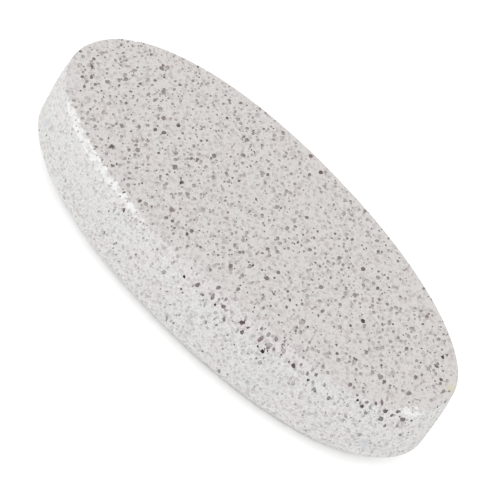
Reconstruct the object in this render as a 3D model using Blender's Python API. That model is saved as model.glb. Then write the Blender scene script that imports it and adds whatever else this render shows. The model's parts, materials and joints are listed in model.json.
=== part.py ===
"""An oval pumice stone, sawn from foamed volcanic glass and rubbed smooth by hand.

The stone lies on its flat underside, centred on the origin: its length runs along X,
its width along Y and its thickness up Z.  Its -Y side has been rubbed the most, so the
top edge is worn round there and the larger pores stand open.  Sizes are in metres.
"""

import math
import random

import bmesh
import bpy
from mathutils import Vector

# Driving dimensions of the stone; the width is taken across the middle of its length.
LENGTH = 0.100
WIDTH = 0.051
THICKNESS = 0.017

# Plan: an oval a little fuller than an ellipse, with its +X end narrower than its -X end.
OVAL_FULLNESS = 2.13
EGG_TAPER = 0.106

# Section of the side: a foot that tucks in, a nearly upright wall and a top edge.
FOOT_INSET = 0.0036
FOOT_HEIGHT = 0.0039
FOOT_ROUNDNESS = 1.25
WALL_LEAN = 0.0007
EDGE_RADIUS = 0.0005

# The worn stretch of the top edge, as angles round the plan from +X.
WORN_EDGE_RADIUS = 0.0024
WORN_CENTRE = math.radians(-72)
WORN_REACH = math.radians(48)

# Fineness of the body's mesh.
OUTLINE_STEPS = 80
FOOT_STEPS = 3
WALL_STEPS = 2
EDGE_STEPS = 3
SHARP_FROM = math.radians(40)

# The larger pores: how many, and their smallest and largest opening radius.
TOP_PITS = 152
TOP_PIT_RADII = (0.00040, 0.00076)
WALL_PITS = 84
WALL_PIT_RADII = (0.00034, 0.00062)
EDGE_PITS = 24
EDGE_PIT_RADII = (0.00055, 0.00085)
UNDERSIDE_PITS = 104
UNDERSIDE_PIT_RADII = (0.00040, 0.00076)

# The stretch of the top edge that has large pores, and how far round the edge they lie.
EDGE_PITS_FROM = math.radians(-104)
EDGE_PITS_TO = math.radians(-16)
EDGE_PIT_TURNS = (math.radians(20), math.radians(70))

# One pore: an irregular open bubble, whose sizes are shares of its opening radius.
PIT_SIDES = 5
PIT_UNEVENNESS = 0.14
PIT_STRETCH = 1.35
PIT_DEPTH = 1.25
PIT_PROUD = 0.7
PIT_WAIST_DEPTH = 0.65
PIT_WAIST_SPREAD = 0.95
PIT_GAP = 0.0003
PLACING_TRIES = 6000
SEED = 7

# A patch at the middle of the underside is left whole, for the stone to rest on.
REST_PATCH_RADIUS = 0.006

# Two shallow dents low in the wall: angle round the plan, height, and radius of the dent.
DENTS = (
    (math.radians(-148), 0.0056, 0.0017),
    (math.radians(-27), 0.0060, 0.0018),
)
DENT_DEPTH = 0.00035
DENT_FINENESS = 3

STONE_COLOUR = (0.66, 0.64, 0.62, 1.0)
STONE_ROUGHNESS = 0.95

UP = Vector((0, 0, 1))


def clear_scene():
    """Remove everything that a new file starts with."""
    for existing in list(bpy.data.objects):
        bpy.data.objects.remove(existing, do_unlink=True)


def signed_power(value, power):
    """Raise a value to a power and keep its sign."""
    return math.copysign(abs(value) ** power, value)


def oval_point(angle, inset):
    """Point of the plan at an angle, moved in from the widest outline by an inset."""
    power = 2 / OVAL_FULLNESS
    x = (LENGTH / 2 - inset) * signed_power(math.cos(angle), power)
    y = (WIDTH / 2 - inset) * signed_power(math.sin(angle), power)
    return Vector((x, y * (1 - EGG_TAPER * x / LENGTH)))


def oval_slope(angle):
    """How the widest outline runs at an angle: its change for one radian."""
    small = math.radians(0.5)
    return (oval_point(angle + small, 0) - oval_point(angle - small, 0)) / (2 * small)


def outward_at(angle, turn=0.0):
    """Outward direction at an angle; turn tips it from level up towards the top face."""
    slope = oval_slope(angle)
    level = Vector((slope.y, -slope.x, 0)).normalized()
    return level * math.cos(turn) + UP * math.sin(turn)


def wall_inset(height):
    """How far the foot and the wall stand in from the widest outline at a height."""
    if height < FOOT_HEIGHT:
        return FOOT_INSET * (1 - height / FOOT_HEIGHT) ** FOOT_ROUNDNESS
    return WALL_LEAN * ((height - FOOT_HEIGHT) / (THICKNESS - FOOT_HEIGHT)) ** 3


def wall_point(angle, height):
    """Point of the foot or the wall at an angle and a height."""
    x, y = oval_point(angle, wall_inset(height))
    return Vector((x, y, height))


def edge_radius(angle):
    """Radius of the top edge at an angle: large where it is worn, small elsewhere."""
    away = abs(math.remainder(angle - WORN_CENTRE, math.tau)) / WORN_REACH
    wear = math.cos(away * math.pi / 2) ** 2 if away < 1 else 0.0
    return EDGE_RADIUS + (WORN_EDGE_RADIUS - EDGE_RADIUS) * wear


def edge_point(angle, turn):
    """Point of the rounded top edge; turn runs from level to a right angle at the top."""
    radius = edge_radius(angle)
    wall_top = THICKNESS - radius
    x, y = oval_point(angle, wall_inset(wall_top) + radius * (1 - math.cos(turn)))
    return Vector((x, y, wall_top + radius * math.sin(turn)))


def side_column(angle):
    """Points of the side from the underside up to the top face, at an angle."""
    wall_top = THICKNESS - edge_radius(angle)
    column = [wall_point(angle, FOOT_HEIGHT * step / FOOT_STEPS) for step in range(FOOT_STEPS)]
    for step in range(WALL_STEPS):
        height = FOOT_HEIGHT + (wall_top - FOOT_HEIGHT) * step / WALL_STEPS
        column.append(wall_point(angle, height))
    for step in range(EDGE_STEPS + 1):
        column.append(edge_point(angle, math.pi / 2 * step / EDGE_STEPS))
    return column


def build_body():
    """Skin the side from its columns, and cap it flat above and below."""
    body = bmesh.new()
    columns = []
    for step in range(OUTLINE_STEPS):
        points = side_column(math.tau * step / OUTLINE_STEPS)
        columns.append([body.verts.new(point) for point in points])
    for left, right in zip(columns, columns[1:] + columns[:1]):
        for level in range(len(left) - 1):
            body.faces.new((left[level], right[level], right[level + 1], left[level + 1]))
    body.faces.new([column[-1] for column in columns])
    body.faces.new([column[0] for column in reversed(columns)])
    bmesh.ops.recalc_face_normals(body, faces=body.faces)
    mesh = bpy.data.meshes.new("pumice_stone")
    body.to_mesh(mesh)
    body.free()
    mesh.shade_smooth()
    mesh.set_sharp_from_angle(angle=SHARP_FROM)
    return mesh


def random_outline_angle(dice):
    """A random angle, drawn so that places spread evenly along the outline."""
    longest = LENGTH / 2
    while True:
        angle = dice.uniform(-math.pi, math.pi)
        if dice.random() * longest < oval_slope(angle).length:
            return angle


def flat_place(dice, margin, height, outward):
    """A random place on a flat face, spread evenly over the oval inside a margin."""
    angle = dice.uniform(-math.pi, math.pi)
    x, y = oval_point(angle, margin) * math.sqrt(dice.random())
    return Vector((x, y, height)), outward


def top_place(dice, reach):
    """A random place for a pit on the top face, clear of the rounded edge."""
    return flat_place(dice, WALL_LEAN + WORN_EDGE_RADIUS + reach, THICKNESS, UP)


def underside_place(dice, reach):
    """A random place for a pit on the underside, clear of its edge and of the rest patch."""
    while True:
        mouth, outward = flat_place(dice, FOOT_INSET + reach, 0.0, -UP)
        if mouth.length > REST_PATCH_RADIUS + reach:
            return mouth, outward


def wall_place(dice, reach):
    """A random place for a pit on the wall, clear of the underside and the top edge."""
    angle = random_outline_angle(dice)
    highest = THICKNESS - edge_radius(angle) - reach
    height = dice.uniform(FOOT_HEIGHT / 2 + reach, highest)
    return wall_point(angle, height), outward_at(angle)


def edge_place(dice, _reach):
    """A random place for a pit on the rubbed stretch of the top edge."""
    angle = dice.uniform(EDGE_PITS_FROM, EDGE_PITS_TO)
    turn = dice.uniform(*EDGE_PIT_TURNS)
    return edge_point(angle, turn), outward_at(angle, turn)


def scatter_pits(dice):
    """Place every pit, the edge's large ones first, so that no two bubbles meet."""
    kinds = (
        (EDGE_PITS, EDGE_PIT_RADII, edge_place),
        (TOP_PITS, TOP_PIT_RADII, top_place),
        (WALL_PITS, WALL_PIT_RADII, wall_place),
        (UNDERSIDE_PITS, UNDERSIDE_PIT_RADII, underside_place),
    )
    pits = []
    bubbles = []
    for count, (smallest, largest), choose_place in kinds:
        wanted = len(pits) + count
        for _ in range(PLACING_TRIES):
            if len(pits) == wanted:
                break
            radius = smallest + (largest - smallest) * dice.random() ** 2
            reach = radius * PIT_STRETCH
            mouth, outward = choose_place(dice, reach)
            heart = mouth - outward * (PIT_DEPTH * radius / 2)
            if all((heart - other).length > reach + room + PIT_GAP for other, room in bubbles):
                pits.append((mouth, outward, radius))
                bubbles.append((heart, reach))
    return pits


def add_pit(cutters, dice, mouth, outward, radius):
    """Add one closed bubble: a lip that stands proud, a waist and a pointed bottom."""
    across = outward.orthogonal().normalized()
    beside = outward.cross(across)
    turn = dice.uniform(0, math.tau)
    stretch = dice.uniform(1, PIT_STRETCH)
    lip_centre = mouth + outward * PIT_PROUD * radius
    waist_centre = mouth - outward * PIT_WAIST_DEPTH * radius
    lip = []
    waist = []
    for side in range(PIT_SIDES):
        angle = math.tau * side / PIT_SIDES
        length = radius * dice.uniform(1 - PIT_UNEVENNESS, 1 + PIT_UNEVENNESS)
        long_way = math.cos(angle) * length * stretch
        short_way = math.sin(angle) * length / stretch
        spoke = across * (long_way * math.cos(turn) - short_way * math.sin(turn))
        spoke += beside * (long_way * math.sin(turn) + short_way * math.cos(turn))
        lip.append(cutters.verts.new(lip_centre + spoke))
        waist.append(cutters.verts.new(waist_centre + spoke * PIT_WAIST_SPREAD))
    bottom = cutters.verts.new(mouth - outward * PIT_DEPTH * radius)
    cutters.faces.new(lip)
    for side in range(PIT_SIDES):
        following = (side + 1) % PIT_SIDES
        cutters.faces.new((lip[following], lip[side], waist[side], waist[following]))
        cutters.faces.new((waist[following], waist[side], bottom))


def add_dent(cutters, angle, height, radius):
    """Add one ball that only grazes the wall, and so leaves a shallow round dent."""
    ball_radius = (radius ** 2 + DENT_DEPTH ** 2) / (2 * DENT_DEPTH)
    centre = wall_point(angle, height) + outward_at(angle) * (ball_radius - DENT_DEPTH)
    ball = bmesh.ops.create_icosphere(cutters, subdivisions=DENT_FINENESS, radius=ball_radius)
    bmesh.ops.translate(cutters, verts=ball["verts"], vec=centre)


def cut_away(stone, name, fill):
    """Cut closed shapes out of the stone with a Boolean; fill makes them in a mesh."""
    cutters = bmesh.new()
    fill(cutters)
    bmesh.ops.recalc_face_normals(cutters, faces=cutters.faces)
    mesh = bpy.data.meshes.new(name)
    cutters.to_mesh(mesh)
    cutters.free()
    cutter = bpy.data.objects.new(name, mesh)
    cutter.hide_render = True
    cutter.display_type = "WIRE"
    bpy.context.scene.collection.objects.link(cutter)
    cut = stone.modifiers.new(name, "BOOLEAN")
    cut.operation = "DIFFERENCE"
    cut.solver = "EXACT"
    cut.object = cutter


def fill_dents(cutters):
    """Make the cutters of both dents."""
    for angle, height, radius in DENTS:
        add_dent(cutters, angle, height, radius)


def fill_pits(cutters):
    """Make the cutters of all the pits."""
    dice = random.Random(SEED)
    for mouth, outward, radius in scatter_pits(dice):
        add_pit(cutters, dice, mouth, outward, radius)


def stone_material():
    """Dull, pale grey stone with no shine."""
    material = bpy.data.materials.new("pumice")
    material.use_nodes = True
    shader = material.node_tree.nodes["Principled BSDF"]
    shader.inputs["Base Color"].default_value = STONE_COLOUR
    shader.inputs["Roughness"].default_value = STONE_ROUGHNESS
    shader.inputs["Metallic"].default_value = 0.0
    return material


def build_stone():
    """Make the stone: its body, less the dents in its wall and its open pores."""
    stone = bpy.data.objects.new("pumice_stone", build_body())
    stone.data.materials.append(stone_material())
    bpy.context.scene.collection.objects.link(stone)
    cut_away(stone, "dent_cutter", fill_dents)
    cut_away(stone, "pit_cutter", fill_pits)


clear_scene()
build_stone()
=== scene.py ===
import json
import math
import random
import bmesh
import bpy
from mathutils import Matrix, Vector, noise
from mathutils.bvhtree import BVHTree

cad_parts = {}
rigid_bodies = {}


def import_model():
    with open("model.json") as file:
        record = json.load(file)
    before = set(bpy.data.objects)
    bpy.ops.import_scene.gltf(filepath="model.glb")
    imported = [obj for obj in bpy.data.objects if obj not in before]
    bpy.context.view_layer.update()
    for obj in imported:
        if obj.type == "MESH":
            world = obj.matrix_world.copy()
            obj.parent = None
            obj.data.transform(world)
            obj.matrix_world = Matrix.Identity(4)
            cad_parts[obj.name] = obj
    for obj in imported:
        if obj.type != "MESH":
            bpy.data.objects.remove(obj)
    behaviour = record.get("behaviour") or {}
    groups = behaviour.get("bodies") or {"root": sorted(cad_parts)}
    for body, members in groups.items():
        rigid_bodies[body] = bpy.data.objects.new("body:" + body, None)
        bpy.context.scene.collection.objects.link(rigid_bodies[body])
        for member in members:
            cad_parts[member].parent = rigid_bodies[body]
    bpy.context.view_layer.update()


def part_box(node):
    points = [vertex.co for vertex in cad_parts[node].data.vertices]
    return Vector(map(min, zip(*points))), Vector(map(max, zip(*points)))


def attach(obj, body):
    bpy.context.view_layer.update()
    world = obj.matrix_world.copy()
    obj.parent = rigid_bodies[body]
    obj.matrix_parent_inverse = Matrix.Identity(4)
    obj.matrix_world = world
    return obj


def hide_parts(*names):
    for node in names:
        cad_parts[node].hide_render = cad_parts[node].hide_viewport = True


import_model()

# ---------------------------------------------------------------- the tablet
# One tablet of foamed volcanic glass, sawn flat above and below, then rubbed round its
# side by hand until the wall is smooth and the foot tucks in. It is egg-shaped in plan,
# and its -Y edge has been used the most, so that edge is worn round.

low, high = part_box("pumice_stone")
STONE_LENGTH = high.x - low.x
STONE_WIDTH = high.y - low.y
STONE_THICKNESS = high.z - low.z

OVAL_FULLNESS = 2.13
EGG_TAPER = 0.106
FOOT_INSET = 0.0036
FOOT_HEIGHT = 0.0039
FOOT_ROUNDNESS = 1.25
WALL_LEAN = 0.0007
LEAN_POWER = 3
EDGE_RADIUS = 0.0005
WORN_EDGE_RADIUS = 0.0024

# Stretches of the side: the angle of the middle, in degrees from +X, and how far each way it goes.
WORN_CENTRE = -72
WORN_REACH = 48
OPEN_CENTRE = -55
OPEN_REACH = 75
# Along these stretches the crisp edge carries a white band, partly dust and partly a painted highlight.
DUST_AND_HIGHLIGHT_STRETCHES = ((-122, 31), (-17, 10))

# How full and how sudden those stretches are, and how far the white of dust and painted highlight, and
# the dirt, spread from the edge.
DUST_AND_HIGHLIGHT_FULLNESS = 1.5
CRISP_POWER = 2
OPEN_POWER = 3
EDGE_REACH = 0.0016

RIPPLE_SPAN = 0.0060
RIPPLE_DEPTH = 0.00016
RUBBING_SPAN = 0.0018
RUBBING_DEPTH = 0.00006

CELLS_ALONG = 68
CELLS_ACROSS = 36
FOOT_STEPS = 5
WALL_STEPS = 9
EDGE_STEPS = 6
RIM_REACH = 0.999


def signed_power(value, power):
    return math.copysign(abs(value) ** power, value)


def egg_point(angle, inset):
    power = 2 / OVAL_FULLNESS
    x = (STONE_LENGTH / 2 - inset) * signed_power(math.cos(angle), power)
    y = (STONE_WIDTH / 2 - inset) * signed_power(math.sin(angle), power)
    return x, y * (1 - EGG_TAPER * x / STONE_LENGTH)


def oval_point(angle, inset):
    x, y = egg_point(angle, inset)
    return x, y / WIDEST_SHARE


WIDEST_SHARE = max(egg_point(math.radians(degree), 0)[1] for degree in range(180)) / (STONE_WIDTH / 2)


def wall_inset(height):
    if height < FOOT_HEIGHT:
        return FOOT_INSET * (1 - height / FOOT_HEIGHT) ** FOOT_ROUNDNESS
    return WALL_LEAN * ((height - FOOT_HEIGHT) / (STONE_THICKNESS - FOOT_HEIGHT)) ** LEAN_POWER


def window(angle, centre, reach):
    """1 at the middle of a stretch of the side, given in degrees, and 0 past its ends."""
    away = abs(math.remainder(angle - math.radians(centre), math.tau)) / math.radians(reach)
    return math.cos(away * math.pi / 2) ** 2 if away < 1 else 0.0


def wear_at(angle):
    """How far the top edge is worn round at an angle, from 0, still crisp, to 1."""
    return window(angle, WORN_CENTRE, WORN_REACH)


def dust_and_highlight_at(angle):
    """How much white the crisp edge holds at an angle, from 0 to 1: partly dust and partly a painted
    highlight.
    """
    dust = max(window(angle, centre, reach) for centre, reach in DUST_AND_HIGHLIGHT_STRETCHES)
    return min(1.0, DUST_AND_HIGHLIGHT_FULLNESS * dust)


def side_column(angle):
    """(height, inset, on_wall) up the side at an angle, from the underside to the top face."""
    radius = EDGE_RADIUS + (WORN_EDGE_RADIUS - EDGE_RADIUS) * wear_at(angle)
    wall_top = STONE_THICKNESS - radius
    heights = [FOOT_HEIGHT * step / FOOT_STEPS for step in range(FOOT_STEPS)]
    heights += [FOOT_HEIGHT + (wall_top - FOOT_HEIGHT) * step / WALL_STEPS for step in range(WALL_STEPS)]
    column = [(height, wall_inset(height), 1.0) for height in heights]
    for step in range(EDGE_STEPS + 1):
        turn = math.pi / 2 * step / EDGE_STEPS
        inset = wall_inset(wall_top) + radius * (1 - math.cos(turn))
        column.append((wall_top + radius * math.sin(turn), inset, 1 - step / EDGE_STEPS))
    return column


def hand_rubbing(x, y, height):
    """How much deeper than the plain oval the rubbed wall lies at a point."""
    place = Vector((x, y, height))
    ripple = RIPPLE_DEPTH * (1 + noise.noise(place / RIPPLE_SPAN)) / 2
    return ripple + RUBBING_DEPTH * (1 + noise.noise(place / RUBBING_SPAN)) / 2


def square_to_oval(u, v):
    """Angle and reach of a corner of a square sheet's cells when the sheet is rounded into a disc."""
    x = u * math.sqrt(1 - v * v / 2)
    y = v * math.sqrt(1 - u * u / 2)
    return math.atan2(y, x), math.hypot(x, y)


SHARE_ZONES = ("wall", "mottled_wall", "open_wall", "underside", "crisp_edge", "worn_edge")
ZONES = SHARE_ZONES + ("chalk", "from_edge")


def build_tablet():
    """The uncut tablet, with what each place is like kept on its points for the pores and the finish."""
    body = bmesh.new()
    zones = {zone: body.verts.layers.float.new(zone) for zone in ZONES}

    def add_point(x, y, height, on_wall, on_edge, angle, from_edge):
        point = body.verts.new((x, y, height))
        rise = (height / STONE_THICKNESS) ** OPEN_POWER
        point[zones["wall"]] = on_wall
        point[zones["mottled_wall"]] = on_wall * window(angle, OPEN_CENTRE, OPEN_REACH)
        point[zones["open_wall"]] = point[zones["mottled_wall"]] * rise
        point[zones["underside"]] = 1.0 if height == 0 else 0.0
        point[zones["crisp_edge"]] = on_edge * (1 - wear_at(angle)) ** CRISP_POWER
        point[zones["worn_edge"]] = on_edge * wear_at(angle)
        point[zones["chalk"]] = dust_and_highlight_at(angle)
        point[zones["from_edge"]] = min(from_edge, 2 * EDGE_REACH)
        return point

    rim = [(i, 0) for i in range(CELLS_ALONG)]
    rim += [(CELLS_ALONG, j) for j in range(CELLS_ACROSS)]
    rim += [(i, CELLS_ACROSS) for i in range(CELLS_ALONG, 0, -1)]
    rim += [(0, j) for j in range(CELLS_ACROSS, 0, -1)]
    sheets = {}
    for level, height in ((0, 0.0), (-1, STONE_THICKNESS)):
        corners = {}
        for i in range(CELLS_ALONG + 1):
            for j in range(CELLS_ACROSS + 1):
                angle, reach = square_to_oval(2 * i / CELLS_ALONG - 1, 2 * j / CELLS_ACROSS - 1)
                x, y = oval_point(angle, side_column(angle)[level][1])
                on_edge = 1.0 if level == -1 and reach > RIM_REACH else 0.0
                from_edge = math.hypot(x, y) * (1 - reach) if level == -1 else EDGE_REACH * 2
                corners[i, j] = add_point(x * reach, y * reach, height, 0.0, on_edge, angle, from_edge)
        for i in range(CELLS_ALONG):
            for j in range(CELLS_ACROSS):
                around = ((i, j), (i + 1, j), (i + 1, j + 1), (i, j + 1))
                body.faces.new([corners[corner] for corner in around])
        sheets[level] = corners
    columns = []
    for i, j in rim:
        angle, _ = square_to_oval(2 * i / CELLS_ALONG - 1, 2 * j / CELLS_ACROSS - 1)
        column = [sheets[0][i, j]]
        for height, inset, on_wall in side_column(angle)[1:-1]:
            x, y = oval_point(angle, inset)
            x, y = oval_point(angle, inset + hand_rubbing(x, y, height) * on_wall)
            on_edge = 1.0 if on_wall < 1 else 0.0
            from_edge = STONE_THICKNESS - EDGE_RADIUS - height if on_edge == 0 else 0.0
            column.append(add_point(x, y, height, on_wall, on_edge, angle, from_edge))
        column.append(sheets[-1][i, j])
        columns.append(column)
    for left, right in zip(columns, columns[1:] + columns[:1]):
        for level in range(len(left) - 1):
            body.faces.new((left[level], right[level], right[level + 1], left[level + 1]))
    bmesh.ops.recalc_face_normals(body, faces=body.faces)
    mesh = bpy.data.meshes.new("pumice_stone_surface")
    body.to_mesh(mesh)
    body.free()
    return mesh


stone = bpy.data.objects.new("pumice_stone_surface", build_tablet())
bpy.context.scene.collection.objects.link(stone)

# ---------------------------------------------------------------- the finish of the stone
# Dry pumice is a dull, grainy glass: warm grey where it is sawn. The rubbed wall is cooler,
# and paler partly from the rubbing and partly as painted light, palest at the foot. The white
# along the crisp edge is partly its own dust and partly a painted highlight. Skin dirt and
# painted shade darken the pores, some brown and some olive, a painted bluish shade lies in
# the dents, and one end has a faint green stain.

SAWN_GREY = (0.431, 0.416, 0.407, 1)
# The wall is paler than the sawn face partly from rubbing and partly as painted light.
WALL_GREY_WITH_PAINTED_LIGHT = (0.485, 0.482, 0.4775, 1)
WORN_GREY = (0.452, 0.436, 0.434, 1)
# Towards its foot the wall is paler still, partly dust and partly painted light thrown up from the floor.
FOOT_GREY_WITH_DUST_AND_PAINTED_LIGHT = (0.615, 0.612, 0.607, 1)
DUST_AND_PAINTED_LIGHT_FOOT_HEIGHT = 0.0060

ROSE_CAST = (1.008, 0.995, 0.994, 1)
LICHEN_CAST = (0.992, 1.0, 0.990, 1)
CAST_SPAN = 0.0045
CAST_FADE = (0.38, 0.62)
GRAIN_SPAN = 0.00030
GRAIN_DETAIL = 3.0
GRAIN_FADE = (0.25, 0.75)
GRAIN_SHADES = (0.87, 1.09)
CLOUD_ROUGHNESS = 0.55

FLOW_TURN = math.radians(-70)
FLOW_STRETCH = 1.4
SUNK_SPAN = 0.00095
SUNK_RADIUS = 0.00052
SUNK_SHADE = 0.38
PRICK_SPAN = 0.00058
PRICK_RADIUS = 0.00027
PRICK_SHADE = 0.40
SMALLEST_SPOT = 0.5
FAINTEST_SPOT = 0.25
SPOT_RIM = 0.65

# The white of the crisp edge: partly dust, partly a painted highlight.
DUST_AND_HIGHLIGHT_WHITE = (0.56, 0.56, 0.555, 1)
RAGGED_PATCH_SPAN = 0.0013
RAGGED_DETAIL = 4.0
RAGGED_FADE = (0.3, 0.7, -0.65, 0.42)
DUST_AND_HIGHLIGHT_FADE = (0.30, 1.00)
STAIN_GREEN = (0.42, 0.41, 0.26, 1)
STAIN_PLACE = (0.0480, 0.0048, 0.0168)
STAIN_REACH = 0.0035
STAIN_STRENGTH = 0.7
PATCHY_FADE = (0.4, 0.6)

# The pore colours are partly dirt and partly painted shade; the black is painted shade only.
PAINTED_SHADE_BLACK = (0.070, 0.050, 0.056, 1)
PORE_BROWN = (0.272, 0.226, 0.224, 1)
PORE_OLIVE = (0.262, 0.248, 0.222, 1)
PORE_GREY = (0.300, 0.292, 0.286, 1)
PORE_PURPLE = (0.265, 0.200, 0.212, 1)
PORE_PALE = (0.373, 0.349, 0.342, 1)
WALL_PORE_PALE = (0.372, 0.366, 0.360, 1)
# Painted bluish shade inside the dents.
DENT_SHADE_BLUE = (0.380, 0.410, 0.445, 1)
DIRT_SPAN = CAST_SPAN / 3
DIRT_DETAIL = 1.0
DIRT_SHIFT = (7, 3, 5)
EDGE_PURPLE = 0.8
DENT_SHADE_TINT = 0.4

# A pore's tone runs from painted black shade at 0 to its dirt and painted shade, then to pale,
# then to the grey around it, and last to the painted bluish shade of a dent.
HUE_TONE = 0.25
PALE_TONE = 0.65
FAINTEST_TONE = 1.5
DENT_SHADE_TONE = 2.0

GRAIN_RELIEF = 0.5
SUNK_RELIEF = 0.5
PRICK_RELIEF = 0.3
LUMP_SPAN = 0.0007
LUMP_RELIEF = 4.0
BUMP_STRENGTH = 0.8
BUMP_HEIGHT = 0.0002
ROUGHNESS_FADE = (0.2, 0.8, 0.88, 1.0)
SHEEN_LEVEL = 0.25


def place(tree, kind, inputs=None, **settings):
    """Adds one node. inputs maps a socket's name or number to a value or to another node's output."""
    node = tree.nodes.new(kind)
    for name, value in settings.items():
        setattr(node, name, value)
    for key, value in (inputs or {}).items():
        if isinstance(value, bpy.types.NodeSocket):
            tree.links.new(value, node.inputs[key])
        else:
            node.inputs[key].default_value = value
    return node


def math_of(tree, operation, first, second=0.0):
    return place(tree, "ShaderNodeMath", {0: first, 1: second}, operation=operation).outputs[0]


def times(tree, first, second):
    return math_of(tree, "MULTIPLY", first, second)


def fade(tree, value, start, full, low=0.0, high=1.0):
    """Goes smoothly from low at start to high at full."""
    inputs = {"Value": value, "From Min": start, "From Max": full, "To Min": low, "To Max": high}
    return place(tree, "ShaderNodeMapRange", inputs, interpolation_type="SMOOTHSTEP").outputs[0]


def colour_of(tree, factor, first, second, blend="MIX"):
    inputs = {0: factor, 6: first, 7: second}
    return place(tree, "ShaderNodeMix", inputs, data_type="RGBA", blend_type=blend).outputs[2]


def cloud(tree, where, span, detail=2.0, shift=(0, 0, 0)):
    """Soft noise from 0 to 1 whose lumps are about one span across."""
    moved = place(tree, "ShaderNodeMapping", {"Vector": where, "Location": shift}).outputs[0]
    inputs = {"Vector": moved, "Scale": 1 / span, "Detail": detail, "Roughness": CLOUD_ROUGHNESS}
    return place(tree, "ShaderNodeTexNoise", inputs).outputs[0]


def on_points(tree, name):
    return place(tree, "ShaderNodeAttribute", attribute_name=name).outputs["Fac"]


def sunk_spots(tree, where, span, radius):
    """A mask of small round hollows of many sizes up to the radius, like a cut through a foam."""
    cells = place(tree, "ShaderNodeTexVoronoi", {"Vector": where, "Scale": 1 / span}).outputs
    luck = place(tree, "ShaderNodeSeparateColor", {0: cells["Color"]}).outputs
    rim = fade(tree, luck[0], 0.0, 1.0, SMALLEST_SPOT * radius / span, radius / span)
    spot = fade(tree, math_of(tree, "DIVIDE", cells["Distance"], rim), SPOT_RIM, 1.0, 1.0, 0.0)
    return times(tree, spot, fade(tree, luck[1], 0.0, 1.0, FAINTEST_SPOT, 1.0))


def drawn_out_by_flow(tree, where):
    """Coordinates in which round spots come out stretched along the flow of the glass."""
    turn = (0, 0, -FLOW_TURN)
    shrink = (1 / FLOW_STRETCH, 1, 1)
    turned = place(tree, "ShaderNodeMapping", {"Vector": where, "Rotation": turn}).outputs[0]
    return place(tree, "ShaderNodeMapping", {"Vector": turned, "Scale": shrink}).outputs[0]


def bare_stone(tree, where, wall, worn, grain):
    """The grey of the glass: its sawn, rubbed and worn parts, with painted light on the wall and its
    foot, its soft casts and its grain.
    """
    grey = colour_of(tree, wall, SAWN_GREY, WALL_GREY_WITH_PAINTED_LIGHT)
    grey = colour_of(tree, worn, grey, WORN_GREY)
    height = place(tree, "ShaderNodeSeparateXYZ", {0: where}).outputs[2]
    # Painted light, partly dust: the wall is paler towards its foot.
    foot_dust_and_light = times(tree, fade(tree, height, 0.0, DUST_AND_PAINTED_LIGHT_FOOT_HEIGHT, 1.0, 0.0), wall)
    grey = colour_of(tree, foot_dust_and_light, grey, FOOT_GREY_WITH_DUST_AND_PAINTED_LIGHT)
    cast = fade(tree, cloud(tree, where, CAST_SPAN), *CAST_FADE)
    tint = colour_of(tree, cast, ROSE_CAST, LICHEN_CAST)
    grey = colour_of(tree, 1.0, grey, tint, "MULTIPLY")
    shade = fade(tree, grain, *GRAIN_FADE, *GRAIN_SHADES)
    shades = place(tree, "ShaderNodeCombineColor", {0: shade, 1: shade, 2: shade}).outputs[0]
    return colour_of(tree, 1.0, grey, shades, "MULTIPLY")


def dusted_highlit_and_stained(tree, where, grey):
    """Lays the white along the crisp edge, partly dust and partly a painted highlight, and the green
    stain over the grey.
    """
    ragged = fade(tree, cloud(tree, where, RAGGED_PATCH_SPAN, RAGGED_DETAIL), *RAGGED_FADE)
    near_edge = fade(tree, on_points(tree, "from_edge"), 0.0, EDGE_REACH, 1.0, 0.0)
    chalk = times(tree, near_edge, on_points(tree, "chalk"))
    chalk = fade(tree, math_of(tree, "ADD", chalk, ragged), *DUST_AND_HIGHLIGHT_FADE)
    # Painted highlight, partly dust: the crisp edge is whitened.
    grey = colour_of(tree, chalk, grey, DUST_AND_HIGHLIGHT_WHITE)
    from_stain = place(tree, "ShaderNodeVectorMath", {0: where, 1: STAIN_PLACE}, operation="DISTANCE")
    stain = fade(tree, from_stain.outputs["Value"], 0.0, STAIN_REACH, 1.0, 0.0)
    stain = times(tree, stain, fade(tree, cloud(tree, where, RAGGED_PATCH_SPAN), *PATCHY_FADE))
    return colour_of(tree, times(tree, stain, STAIN_STRENGTH), grey, STAIN_GREEN)


def pore_dirt_and_shade(tree, where, wall, worn, grey):
    """The colour inside the pores, dirt and painted shade, from the tone of each and from what part of
    the stone it is in.
    """
    tone = on_points(tree, "pore_tone")
    hue = fade(tree, cloud(tree, where, DIRT_SPAN, DIRT_DETAIL, DIRT_SHIFT), *PATCHY_FADE)
    dirt_and_shade = colour_of(tree, hue, PORE_BROWN, PORE_OLIVE)
    dirt_and_shade = colour_of(tree, wall, dirt_and_shade, PORE_GREY)
    by_edge = fade(tree, on_points(tree, "from_edge"), EDGE_REACH, 2 * EDGE_REACH, EDGE_PURPLE, 0.0)
    dirt_and_shade = colour_of(tree, math_of(tree, "MAXIMUM", worn, by_edge), dirt_and_shade, PORE_PURPLE)
    # Painted shade: the darkest pores go to black.
    dirt_and_shade = colour_of(tree, fade(tree, tone, 0.0, HUE_TONE), PAINTED_SHADE_BLACK, dirt_and_shade)
    pale = colour_of(tree, wall, PORE_PALE, WALL_PORE_PALE)
    dirt_and_shade = colour_of(tree, fade(tree, tone, HUE_TONE, PALE_TONE), dirt_and_shade, pale)
    dirt_and_shade = colour_of(tree, fade(tree, tone, PALE_TONE, FAINTEST_TONE), dirt_and_shade, grey)
    # Painted shade: the dents are tinted darker and bluish.
    return colour_of(tree, fade(tree, tone, FAINTEST_TONE, DENT_SHADE_TONE, 0.0, DENT_SHADE_TINT), dirt_and_shade, DENT_SHADE_BLUE)


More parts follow.
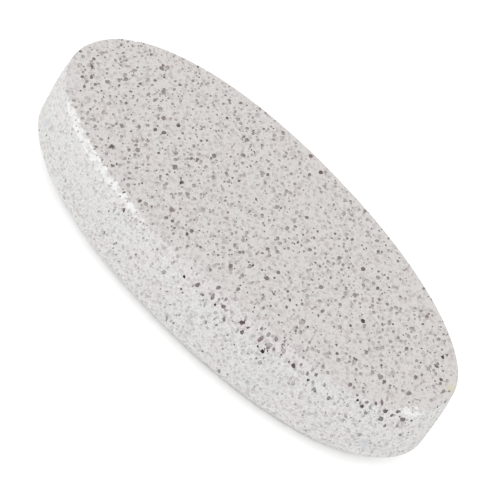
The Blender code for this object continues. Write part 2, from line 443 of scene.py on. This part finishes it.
def fine_relief(tree, where, wall, grain, sunk, pricks):
    """The bump of the grain, of the smallest hollows and of the lumpy rubbed wall."""
    hollows = math_of(tree, "ADD", times(tree, sunk, SUNK_RELIEF), times(tree, pricks, PRICK_RELIEF))
    relief = math_of(tree, "SUBTRACT", times(tree, grain, GRAIN_RELIEF), hollows)
    lumps = times(tree, cloud(tree, where, LUMP_SPAN), wall)
    relief = math_of(tree, "ADD", relief, times(tree, lumps, LUMP_RELIEF))
    inputs = {"Height": relief, "Strength": BUMP_STRENGTH, "Distance": BUMP_HEIGHT}
    return place(tree, "ShaderNodeBump", inputs).outputs[0]


def finish_stone():
    finish = bpy.data.materials.new("pumice")
    finish.use_nodes = True
    tree = finish.node_tree
    shader = tree.nodes["Principled BSDF"]
    where = place(tree, "ShaderNodeTexCoord").outputs["Object"]
    wall = on_points(tree, "wall")
    worn = on_points(tree, "worn_edge")
    grain = cloud(tree, where, GRAIN_SPAN, GRAIN_DETAIL)
    grey = bare_stone(tree, where, wall, worn, grain)
    along_flow = drawn_out_by_flow(tree, where)
    sunk = sunk_spots(tree, along_flow, SUNK_SPAN, SUNK_RADIUS)
    pricks = sunk_spots(tree, along_flow, PRICK_SPAN, PRICK_RADIUS)
    # Painted shade of the smallest hollows, which are not cut: sunk spots and pricks darken the grey
    # towards the pores' brown.
    grey = colour_of(tree, times(tree, sunk, SUNK_SHADE), grey, PORE_BROWN)
    grey = colour_of(tree, times(tree, pricks, PRICK_SHADE), grey, PORE_BROWN)
    grey = dusted_highlit_and_stained(tree, where, grey)
    dirt_and_shade = pore_dirt_and_shade(tree, where, wall, worn, grey)
    surface = colour_of(tree, on_points(tree, "in_pore"), grey, dirt_and_shade)
    tree.links.new(surface, shader.inputs["Base Color"])
    tree.links.new(fine_relief(tree, where, wall, grain, sunk, pricks), shader.inputs["Normal"])
    tree.links.new(fade(tree, grain, *ROUGHNESS_FADE), shader.inputs["Roughness"])
    shader.inputs["Specular IOR Level"].default_value = SHEEN_LEVEL
    return finish


# ---------------------------------------------------------------- the pores
# Gas bubbles that were frozen in the glass, opened wherever the saw or the rubbing met
# them. On the sawn faces they gape and go deep; on the wall most are rubbed shallow.
# Each is cut out of the tablet by one of a few low bubble shapes, turned and stretched.

BUBBLE_SEED = 11
FLOW_RISE = math.radians(40)
FLOW_DIRECTION = (
    math.cos(FLOW_TURN) * math.cos(FLOW_RISE),
    math.sin(FLOW_TURN) * math.cos(FLOW_RISE),
    math.sin(FLOW_RISE),
)
FLOW_SWING = math.radians(18)

# A bubble is rings of points, each given as (height, radius), between the point of its roof
# and the point of its floor. Its mouth is about 1 in radius, and wobble is how uneven it is.
BUBBLE_KINDS = {
    "cavity": dict(shapes=6, sides=8, rings=((-0.40, 1.12),), roof=3.0, floor=-0.90, wobble=0.10),
    "pinhole": dict(shapes=5, sides=5, rings=((-0.50, 1.12),), roof=3.5, floor=-1.60, wobble=0.22),
    "dish": dict(shapes=6, sides=7, rings=((0.28, 1.60),), roof=0.8, floor=-0.42, wobble=0.10),
}
PIT_SHAPE = dict(sides=11, rings=((-0.30, 1.08), (-0.95, 0.80)), roof=3.0, floor=-1.25, wobble=0.22)
DENT_SHAPE = dict(sides=18, rings=((0.05, 1.15),), roof=0.6, floor=-0.32, wobble=0.03)
FLOOR_DRIFT = 0.25
CORNER_DRIFT = 0.25
RING_WOBBLE = 0.4


def blow_bubble(bubble, shape, dice, lean=0.0):
    """Adds one closed bubble, its mouth at height 0. A lean moves its floor towards +Y."""
    sides = shape["sides"]
    wobble = shape["wobble"]
    reaches = [1 + wobble * dice.uniform(-1, 1) for _ in range(sides)]
    start = dice.uniform(0, math.tau)
    roof = bubble.verts.new((0, 0, shape["roof"]))
    floor_x = FLOOR_DRIFT * dice.uniform(-1, 1)
    floor_y = FLOOR_DRIFT * dice.uniform(-1, 1) + lean
    floor = bubble.verts.new((floor_x, floor_y, shape["floor"]))
    rings = []
    for height, radius in shape["rings"]:
        ring = []
        for side in range(sides):
            angle = start + math.tau * (side + CORNER_DRIFT * dice.uniform(-1, 1)) / sides
            reach = radius * reaches[side] * (1 + RING_WOBBLE * wobble * dice.uniform(-1, 1))
            ring.append(bubble.verts.new((reach * math.cos(angle), reach * math.sin(angle), height)))
        rings.append(ring)
    for side in range(sides):
        following = (side + 1) % sides
        bubble.faces.new((roof, rings[0][side], rings[0][following]))
        bubble.faces.new((floor, rings[-1][following], rings[-1][side]))
        for upper, lower in zip(rings, rings[1:]):
            bubble.faces.new((upper[side], lower[side], lower[following], upper[following]))
    return [roof, floor] + [point for ring in rings for point in ring]


def bubble_object(name, bubble):
    bmesh.ops.recalc_face_normals(bubble, faces=bubble.faces)
    mesh = bpy.data.meshes.new(name)
    bubble.to_mesh(mesh)
    bubble.free()
    return bpy.data.objects.new(name, mesh)


def bubble_shelf(kind):
    dice = random.Random(f"{kind}{BUBBLE_SEED}")
    shelf = bpy.data.collections.new(kind)
    for number in range(BUBBLE_KINDS[kind]["shapes"]):
        bubble = bmesh.new()
        blow_bubble(bubble, BUBBLE_KINDS[kind], dice)
        shelf.objects.link(bubble_object(f"{kind}_{number}", bubble))
    return shelf


# The pits that stand out: middle of the mouth, its length and width, its turn from level in
# degrees, and its tone.
BIG_PITS = (
    ((-0.0443, -0.0049, 0.0170), 0.00150, 0.00065, 140, 0.10),
    ((-0.0420, -0.0072, 0.0170), 0.00125, 0.00085, 110, 0.30),
    ((-0.0427, -0.0092, 0.0170), 0.00105, 0.00070, 110, 0.40),
    ((-0.0397, -0.0050, 0.0170), 0.00130, 0.00095, 110, 0.60),
    ((-0.0382, 0.0095, 0.0170), 0.00140, 0.00100, 110, 0.45),
    ((-0.0331, 0.0051, 0.0170), 0.00180, 0.00085, 133, 0.50),
    ((-0.0250, 0.0011, 0.0170), 0.00120, 0.00085, 110, 0.14),
    ((-0.0248, -0.0034, 0.0170), 0.00125, 0.00085, 110, 0.22),
    ((-0.0261, -0.0046, 0.0170), 0.00105, 0.00080, 110, 0.30),
    ((-0.0264, -0.0167, 0.0170), 0.00120, 0.00085, 120, 0.15),
    ((-0.0172, -0.0079, 0.0170), 0.00145, 0.00105, 110, 0.45),
    ((-0.0137, -0.0096, 0.0170), 0.00110, 0.00080, 110, 0.12),
    ((-0.0094, -0.0168, 0.0170), 0.00150, 0.00105, 110, 0.45),
    ((-0.0138, -0.0215, 0.0170), 0.00120, 0.00080, 120, 0.30),
    ((-0.0143, -0.0244, 0.0153), 0.00090, 0.00070, 90, 0.30),
    ((0.0028, -0.0248, 0.0152), 0.00075, 0.00060, 90, 0.04),
    ((0.0057, -0.0245, 0.0159), 0.00090, 0.00080, 90, 0.35),
    ((0.0058, -0.0157, 0.0170), 0.00115, 0.00080, 110, 0.30),
    ((0.0105, -0.0242, 0.0154), 0.00055, 0.00050, 90, 0.06),
    ((0.0092, -0.0240, 0.0161), 0.00115, 0.00075, 115, 0.40),
    ((0.0076, -0.0245, 0.0151), 0.00055, 0.00050, 90, 0.20),
    ((0.0134, -0.0240, 0.0143), 0.00100, 0.00065, 130, 0.25),
    ((0.0162, -0.0230, 0.0161), 0.00110, 0.00080, 20, 0.12),
    ((0.0176, -0.0228, 0.0161), 0.00075, 0.00050, 60, 0.35),
    ((0.0173, -0.0233, 0.0147), 0.00105, 0.00080, 75, 0.30),
    ((0.0206, -0.0222, 0.0159), 0.00150, 0.00065, 78, 0.20),
    ((0.0210, -0.0225, 0.0144), 0.00055, 0.00050, 90, 0.12),
    ((0.0222, -0.0223, 0.0142), 0.00095, 0.00085, 90, 0.03),
    ((0.0226, -0.0220, 0.0155), 0.00080, 0.00055, 70, 0.25),
    ((0.0235, -0.0217, 0.0160), 0.00065, 0.00050, 100, 0.40),
    ((0.0113, -0.0110, 0.0170), 0.00130, 0.00105, 110, 0.45),
    ((0.0279, -0.0205, 0.0155), 0.00085, 0.00075, 90, 0.10),
    ((0.0306, -0.0195, 0.0158), 0.00080, 0.00055, 110, 0.35),
    ((0.0318, -0.0187, 0.0164), 0.00070, 0.00060, 100, 0.40),
    ((0.0313, -0.0193, 0.0147), 0.00065, 0.00055, 90, 0.10),
    ((0.0332, -0.0187, 0.0136), 0.00120, 0.00060, 126, 0.25),
    ((0.0397, -0.0149, 0.0160), 0.00060, 0.00050, 90, 0.06),
    ((0.0409, -0.0143, 0.0151), 0.00085, 0.00065, 90, 0.10),
    ((0.0411, -0.0140, 0.0164), 0.00075, 0.00060, 90, 0.40),
    ((0.0422, -0.0129, 0.0168), 0.00075, 0.00060, 120, 0.30),
    ((0.0427, -0.0117, 0.0170), 0.00140, 0.00055, 133, 0.30),
    ((0.0442, -0.0114, 0.0159), 0.00090, 0.00075, 70, 0.14),
    ((0.0456, -0.0097, 0.0164), 0.00090, 0.00080, 90, 0.20),
    ((0.0453, -0.0103, 0.0153), 0.00085, 0.00065, 90, 0.25),
    ((0.0443, -0.0115, 0.0139), 0.00120, 0.00090, 100, 0.28),
    ((0.0469, -0.0083, 0.0147), 0.00115, 0.00100, 90, 0.30),
    ((0.0454, -0.0105, 0.0125), 0.00090, 0.00060, 105, 0.50),
    ((0.0469, -0.0087, 0.0130), 0.00105, 0.00060, 115, 0.55),
    ((0.0479, -0.0067, 0.0146), 0.00055, 0.00050, 90, 0.10),
    ((0.0277, 0.0000, 0.0170), 0.00125, 0.00085, 120, 0.08),
    ((0.0332, -0.0088, 0.0170), 0.00115, 0.00080, 20, 0.30),
    ((0.0385, -0.0073, 0.0170), 0.00160, 0.00115, 133, 0.80),
    ((0.0424, 0.0062, 0.0170), 0.00120, 0.00080, 10, 0.12),
    ((0.0416, 0.0093, 0.0170), 0.00110, 0.00075, 110, 0.12),
    ((0.0451, 0.0044, 0.0170), 0.00095, 0.00070, 110, 0.15),
)
STRING_ENDS = (Vector((0.0230, -0.0186, 0.0170)), Vector((0.0251, -0.0212, 0.0159)))
STRING_BEADS = 5
STRING_MOUTH = 0.00045
STRING_TONE = 0.3

# The dents: angle round the side in degrees, height, and radius of the mouth.
DENTS = ((-146, 0.0072, 0.0011), (-28, 0.0066, 0.0011))
DENT_LEAN = 0.70
LEAST_SLOPE = 0.1


def set_bubble(landmarks, tablet, shape, dice, middle, length, width, turn, tone, lean=0.0):
    """Sets one bubble, mouth outwards, where the tablet comes nearest to a point."""
    seat, outwards, _, _ = tablet.find_nearest(middle)
    level = Vector((0, 0, 1)).cross(outwards)
    level = level.normalized() if level.length > LEAST_SLOPE else Vector((1, 0, 0))
    upwards = outwards.cross(level)
    along = level * math.cos(math.radians(turn)) + upwards * math.sin(math.radians(turn))
    across = outwards.cross(along)
    for point in blow_bubble(landmarks, shape, dice, lean):
        x, y, z = point.co
        point.co = seat + along * (x * length / 2) + across * (y * width / 2)
        point.co += outwards * (z * width / 2)
        point[landmarks.verts.layers.float["pore_tone"]] = tone


def build_landmarks():
    """The big pits, a string of small pores that leads over the worn edge, and two nail-shaped dents."""
    dice = random.Random(BUBBLE_SEED)
    landmarks = bmesh.new()
    landmarks.verts.layers.float.new("pore_tone")
    corners = [entry.co for entry in stone.data.vertices]
    tablet = BVHTree.FromPolygons(corners, [face.vertices for face in stone.data.polygons])
    for middle, length, width, turn, tone in BIG_PITS:
        set_bubble(landmarks, tablet, PIT_SHAPE, dice, middle, length, width, turn, tone)
    for bead in range(STRING_BEADS):
        middle = STRING_ENDS[0].lerp(STRING_ENDS[1], bead / (STRING_BEADS - 1))
        mouth = (STRING_MOUTH, STRING_MOUTH)
        set_bubble(landmarks, tablet, PIT_SHAPE, dice, middle, *mouth, 0, STRING_TONE)
    for degree, height, radius in DENTS:
        x, y = oval_point(math.radians(degree), wall_inset(height))
        mouth = (radius * 2, radius * 2)
        set_bubble(landmarks, tablet, DENT_SHAPE, dice, (x, y, height), *mouth, 0, DENT_SHADE_TONE, DENT_LEAN)
    return bubble_object("landmarks", landmarks)


def named(tree, name):
    return place(tree, "GeometryNodeInputNamedAttribute", {"Name": name}).outputs[0]


def nearest(tree, mesh, name):
    """The value of an attribute at the nearest point of another surface."""
    return place(tree, "GeometryNodeSampleNearestSurface", {
        "Mesh": mesh,
        "Value": named(tree, name),
    }, data_type="FLOAT").outputs[0]


def chance(tree, seed, draw, lowest=0.0, highest=1.0):
    """A random value for each point. Every draw has its own number, so that no two agree."""
    shifted = math_of(tree, "ADD", seed, draw)
    return place(tree, "FunctionNodeRandomValue", {2: lowest, 3: highest, "Seed": shifted}).outputs[1]


# Small bubbles are the commonest, the more so the higher MOUTH_POWER is. Each is drawn out
# along the flow, and is shallower or deeper than its kind, by a chance within these spans.
MOUTH_POWER = 1.8
STRETCHES = (1.12, 1.30)
DEPTHS = (0.7, 1.2)


def build_scatter_tree():
    """Bubbles set over a surface, mouth outwards, as many and as wide as its named inputs say."""
    tree = bpy.data.node_groups.new("scatter_bubbles", "GeometryNodeTree")
    for name, kind in (
        ("Surface", "NodeSocketGeometry"),
        ("Bubbles", "NodeSocketCollection"),
        ("Share", "NodeSocketFloat"),
        ("Widening", "NodeSocketFloat"),
        ("Pores per Square Metre", "NodeSocketFloat"),
        ("Least Spacing", "NodeSocketFloat"),
        ("Smallest Mouth", "NodeSocketFloat"),
        ("Widest Mouth", "NodeSocketFloat"),
        ("Darkest Tone", "NodeSocketFloat"),
        ("Palest Tone", "NodeSocketFloat"),
        ("Seed", "NodeSocketInt"),
    ):
        tree.interface.new_socket(name, in_out="INPUT", socket_type=kind)
    tree.interface.new_socket("Instances", in_out="OUTPUT", socket_type="NodeSocketGeometry")
    given = tree.nodes.new("NodeGroupInput").outputs
    points = place(tree, "GeometryNodeDistributePointsOnFaces", {
        "Mesh": given["Surface"],
        "Distance Min": given["Least Spacing"],
        "Density Max": given["Pores per Square Metre"],
        "Density Factor": given["Share"],
        "Seed": given["Seed"],
    }, distribute_method="POISSON")
    drawn_out = place(tree, "FunctionNodeAlignRotationToVector", {
        "Rotation": points.outputs["Rotation"],
        "Vector": FLOW_DIRECTION,
    }, axis="X", pivot_axis="Z")
    spin = place(tree, "FunctionNodeAxisAngleToRotation", {
        "Axis": (0, 0, 1),
        "Angle": chance(tree, given["Seed"], 1, -FLOW_SWING, FLOW_SWING),
    })
    turned = place(tree, "FunctionNodeRotateRotation", {
        "Rotation": drawn_out.outputs[0],
        "Rotate By": spin.outputs[0],
    }, rotation_space="LOCAL")
    luck = math_of(tree, "ADD", chance(tree, given["Seed"], 2), chance(tree, given["Seed"], 3))
    luck = math_of(tree, "POWER", times(tree, luck, 0.5), MOUTH_POWER)
    spread = math_of(tree, "SUBTRACT", given["Widest Mouth"], given["Smallest Mouth"])
    mouth = math_of(tree, "ADD", given["Smallest Mouth"], times(tree, spread, luck))
    radius = times(tree, times(tree, mouth, 0.5), given["Widening"])
    stretch = chance(tree, given["Seed"], 4, *STRETCHES)
    scale = place(tree, "ShaderNodeCombineXYZ", {
        "X": times(tree, radius, stretch),
        "Y": math_of(tree, "DIVIDE", radius, stretch),
        "Z": times(tree, radius, chance(tree, given["Seed"], 5, *DEPTHS)),
    })
    shapes = place(tree, "GeometryNodeCollectionInfo", {
        "Collection": given["Bubbles"],
        "Separate Children": True,
        "Reset Children": True,
    })
    bubbles = place(tree, "GeometryNodeInstanceOnPoints", {
        "Points": points.outputs["Points"],
        "Instance": shapes.outputs[0],
        "Pick Instance": True,
        "Rotation": turned.outputs[0],
        "Scale": scale.outputs[0],
    })
    toned = place(tree, "GeometryNodeStoreNamedAttribute", {
        "Geometry": bubbles.outputs[0],
        "Name": "pore_tone",
        "Value": chance(tree, given["Seed"], 6, given["Darkest Tone"], given["Palest Tone"]),
    }, data_type="FLOAT", domain="INSTANCE")
    tree.links.new(toned.outputs[0], tree.nodes.new("NodeGroupOutput").inputs[0])
    return tree


SQUARE_MM_PER_M2 = 1e6
LAYERS = (
    dict(kind="cavity", per_mm2=0.25, spacing=0.0006, mouth=(0.00046, 0.00122), tone=(0.14, 1.6), seed=3),
    dict(kind="pinhole", per_mm2=0.17, spacing=0.0005, mouth=(0.00032, 0.00060), tone=(0.0, 1.0), seed=4),
    dict(kind="dish", per_mm2=0.47, spacing=0.0006, mouth=(0.00062, 0.00130), tone=(0.48, 1.25), seed=5),
)

# On the top face, then in each of SHARE_ZONES in turn: the share of each kind of pore that
# opens there, and how wide their mouths are against those of the top face.
SHARES = {
    "cavity_share": (1.0, 0.12, 0.18, 0.90, 0.45, 0.4, 1.0),
    "pinhole_share": (1.0, 0.25, 0.35, 0.90, 0.3, 0.7, 1.0),
    "dish_share": (1.0, 0.65, 1.30, 1.10, 0.25, 0.3, 0.8),
    "widening": (1.0, 0.80, 0.80, 0.90, 0.95, 0.8, 1.05),
}


def note_shares(mesh):
    """Keeps on each point its share of each kind of pore, and how wide their mouths are."""
    places = [[entry.value for entry in mesh.attributes[zone].data] for zone in SHARE_ZONES]
    for name, (on_top, *by_zone) in SHARES.items():
        values = [on_top] * len(mesh.vertices)
        for share, belonging in zip(by_zone, places):
            values = [value + (share - value) * here for value, here in zip(values, belonging)]
        mesh.attributes.new(name, "FLOAT", "POINT").data.foreach_set("value", values)


# A place on the cut stone is inside a pore if it is deeper than PORE_RIM. An edge on the rim
# has one of its two faces inside, so it is about half inside, and it is left crisp. A loose
# crumb of stone left between bubbles has fewer faces than CRUMB_FACES, and is taken away.
PORE_RIM = 0.000004
HALF_INSIDE = 0.5
HALF_LEEWAY = 0.3
CRUMB_FACES = 100


def build_pore_tree():
    """Cuts the scattered bubbles and the landmarks out of the tablet and notes what is where."""
    tree = bpy.data.node_groups.new("pumice_pores", "GeometryNodeTree")
    tree.interface.new_socket("Tablet", in_out="INPUT", socket_type="NodeSocketGeometry")
    tree.interface.new_socket("Landmarks", in_out="INPUT", socket_type="NodeSocketObject")
    tree.interface.new_socket("Finish", in_out="INPUT", socket_type="NodeSocketMaterial")
    tree.interface.new_socket("Stone", in_out="OUTPUT", socket_type="NodeSocketGeometry")
    given = tree.nodes.new("NodeGroupInput").outputs
    scatter = build_scatter_tree()
    joined = tree.nodes.new("GeometryNodeJoinGeometry")
    for layer in LAYERS:
        bubbles = place(tree, "GeometryNodeGroup", {
            "Surface": given["Tablet"],
            "Bubbles": bubble_shelf(layer["kind"]),
            "Share": named(tree, layer["kind"] + "_share"),
            "Widening": named(tree, "widening"),
            "Pores per Square Metre": layer["per_mm2"] * SQUARE_MM_PER_M2,
            "Least Spacing": layer["spacing"],
            "Smallest Mouth": layer["mouth"][0],
            "Widest Mouth": layer["mouth"][1],
            "Darkest Tone": layer["tone"][0],
            "Palest Tone": layer["tone"][1],
            "Seed": layer["seed"],
        }, node_tree=scatter)
        tree.links.new(bubbles.outputs[0], joined.inputs[0])
    landmarks = place(tree, "GeometryNodeObjectInfo", {"Object": given["Landmarks"]}).outputs["Geometry"]
    cut = place(tree, "GeometryNodeMeshBoolean", {
        "Mesh 1": given["Tablet"],
        "Mesh 2": joined.outputs[0],
    }, operation="DIFFERENCE", solver="MANIFOLD")
    tree.links.new(landmarks, cut.inputs["Mesh 2"])
    island = tree.nodes.new("GeometryNodeInputMeshIsland").outputs["Island Index"]
    faces_there = place(tree, "GeometryNodeAccumulateField", {
        "Value": 1,
        "Group ID": island,
    }, data_type="INT", domain="FACE").outputs["Total"]
    surface = place(tree, "GeometryNodeDeleteGeometry", {
        "Geometry": cut.outputs["Mesh"],
        "Selection": math_of(tree, "LESS_THAN", faces_there, CRUMB_FACES),
    }, domain="FACE").outputs[0]
    everything = place(tree, "GeometryNodeJoinGeometry", {0: joined.outputs[0]})
    tree.links.new(landmarks, everything.inputs[0])
    loose = place(tree, "GeometryNodeRealizeInstances", {"Geometry": everything.outputs[0]})
    depth = place(tree, "GeometryNodeProximity", {"Geometry": given["Tablet"]}, target_element="FACES")
    noted = {"pore_depth": depth.outputs["Distance"]}
    for name in ("wall", "worn_edge", "chalk", "from_edge"):
        noted[name] = nearest(tree, given["Tablet"], name)
    noted["pore_tone"] = nearest(tree, loose.outputs[0], "pore_tone")
    for name, value in noted.items():
        surface = place(tree, "GeometryNodeStoreNamedAttribute", {
            "Geometry": surface,
            "Name": name,
            "Value": value,
        }, data_type="FLOAT", domain="POINT").outputs[0]
    surface = place(tree, "GeometryNodeStoreNamedAttribute", {
        "Geometry": surface,
        "Name": "in_pore",
        "Value": math_of(tree, "GREATER_THAN", named(tree, "pore_depth"), PORE_RIM),
    }, data_type="FLOAT", domain="FACE").outputs[0]
    smooth = place(tree, "GeometryNodeSetShadeSmooth", {"Geometry": surface}, domain="FACE").outputs[0]
    on_rim = place(tree, "FunctionNodeCompare", {
        "A": named(tree, "in_pore"),
        "B": HALF_INSIDE,
        "Epsilon": HALF_LEEWAY,
    }, data_type="FLOAT", operation="EQUAL")
    crisp = place(tree, "GeometryNodeSetShadeSmooth", {
        "Geometry": smooth,
        "Selection": on_rim.outputs[0],
        "Shade Smooth": False,
    }, domain="EDGE").outputs[0]
    whole = place(tree, "GeometryNodeRealizeInstances", {"Geometry": crisp})
    finished = place(tree, "GeometryNodeSetMaterial", {
        "Geometry": whole.outputs[0],
        "Material": given["Finish"],
    })
    tree.links.new(finished.outputs[0], tree.nodes.new("NodeGroupOutput").inputs[0])
    return tree


def set_input(modifier, name, value):
    """Sets one of the named inputs of a modifier's tree."""
    sockets = modifier.node_group.interface.items_tree
    modifier[next(socket.identifier for socket in sockets if socket.name == name)] = value


note_shares(stone.data)
landmarks = build_landmarks()
opening = stone.modifiers.new("pores", "NODES")
opening.node_group = build_pore_tree()
set_input(opening, "Finish", finish_stone())
set_input(opening, "Landmarks", landmarks)
depsgraph = bpy.context.evaluated_depsgraph_get()
opened = bpy.data.meshes.new_from_object(stone.evaluated_get(depsgraph), depsgraph=depsgraph)
stone.modifiers.remove(opening)
stone.data = opened
bpy.data.objects.remove(landmarks)
for kind in BUBBLE_KINDS:
    for bubble in list(bpy.data.collections[kind].objects):
        bpy.data.objects.remove(bubble)
    bpy.data.collections.remove(bpy.data.collections[kind])

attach(stone, "root")
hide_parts("pumice_stone")

# ---------------------------------------------------------------- floor and light
# A plain white sheet under a white dome of light, with two soft lights held low. The left
# one lights the broad end of the wall, and the weaker right one the narrow end.

FLOOR_HALF_SIZE = 1.5
FLOOR_GAP = 0.00005
FLOOR_PALE = (0.75, 0.75, 0.75, 1)
FLOOR_ROUGHNESS = 0.9
FLOOR_GLOW = 0.21
WHITE = (1, 1, 1, 1)
DOME_STRENGTH = 1.48


def build_floor():
    mesh = bpy.data.meshes.new("floor")
    sheet = bmesh.new()
    bmesh.ops.create_grid(sheet, x_segments=1, y_segments=1, size=FLOOR_HALF_SIZE)
    sheet.to_mesh(mesh)
    sheet.free()
    floor = bpy.data.objects.new("floor", mesh)
    floor.location.z = -FLOOR_GAP
    bpy.context.scene.collection.objects.link(floor)
    paint = bpy.data.materials.new("white_floor")
    paint.use_nodes = True
    shader = paint.node_tree.nodes["Principled BSDF"]
    shader.inputs["Base Color"].default_value = FLOOR_PALE
    shader.inputs["Roughness"].default_value = FLOOR_ROUGHNESS
    shader.inputs["Specular IOR Level"].default_value = 0.0
    shader.inputs["Emission Color"].default_value = WHITE
    shader.inputs["Emission Strength"].default_value = FLOOR_GLOW
    mesh.materials.append(paint)


def light_dome():
    world = bpy.data.worlds.new("white_dome")
    world.use_nodes = True
    sky = world.node_tree.nodes["Background"]
    sky.inputs["Color"].default_value = WHITE
    sky.inputs["Strength"].default_value = DOME_STRENGTH
    bpy.context.scene.world = world
    bpy.context.scene.view_settings.view_transform = "Standard"


def hang_soft_light(name, place_at, width, watts):
    """A square soft light that faces the stone."""
    data = bpy.data.lights.new(name, "AREA")
    data.size = width
    data.energy = watts
    box = bpy.data.objects.new(name, data)
    towards = -Vector(place_at)
    box.matrix_world = towards.to_track_quat("-Z", "Y").to_matrix().to_4x4()
    box.matrix_world.translation = place_at
    bpy.context.scene.collection.objects.link(box)


build_floor()
light_dome()
hang_soft_light("left_light", place_at=(-0.75, -0.35, 0.30), width=0.5, watts=2.6)
hang_soft_light("right_light", place_at=(0.68, -0.50, 0.28), width=0.6, watts=1.9)

# ---------------------------------------------------------------- camera
# Held above the stone's -Y side and rolled, so that the stone lies across the frame from
# the upper left to the lower right.

SIGHT_TURN = math.radians(20.33)
SIGHT_RISE = math.radians(39.57)
SIGHT_ROLL = math.radians(32.87)
SIGHT_DISTANCE = 4.2 * STONE_LENGTH
PIXELS_PER_LENGTH = 525.4
CENTRE_PIXEL = (243.5, 246.85)
FRAME_PIXELS = 500
SENSOR_WIDTH = 36.0


def aim_camera():
    back = Vector((
        math.sin(SIGHT_TURN) * math.cos(SIGHT_RISE),
        -math.cos(SIGHT_TURN) * math.cos(SIGHT_RISE),
        math.sin(SIGHT_RISE),
    ))
    level_right = Vector((math.cos(SIGHT_TURN), math.sin(SIGHT_TURN), 0))
    level_up = back.cross(level_right)
    right = level_right * math.cos(SIGHT_ROLL) + level_up * math.sin(SIGHT_ROLL)
    up = level_up * math.cos(SIGHT_ROLL) - level_right * math.sin(SIGHT_ROLL)
    metres_per_pixel = STONE_LENGTH / PIXELS_PER_LENGTH
    aim = Vector((0, 0, STONE_THICKNESS / 2))
    aim += right * (FRAME_PIXELS / 2 - CENTRE_PIXEL[0]) * metres_per_pixel
    aim -= up * (FRAME_PIXELS / 2 - CENTRE_PIXEL[1]) * metres_per_pixel
    data = bpy.data.cameras.new("camera")
    data.sensor_width = SENSOR_WIDTH
    data.lens = PIXELS_PER_LENGTH * SIGHT_DISTANCE / STONE_LENGTH * SENSOR_WIDTH / FRAME_PIXELS
    camera = bpy.data.objects.new("camera", data)
    camera.matrix_world = Matrix((right, up, back)).transposed().to_4x4()
    camera.matrix_world.translation = aim + back * SIGHT_DISTANCE
    bpy.context.scene.collection.objects.link(camera)
    bpy.context.scene.camera = camera


aim_camera()
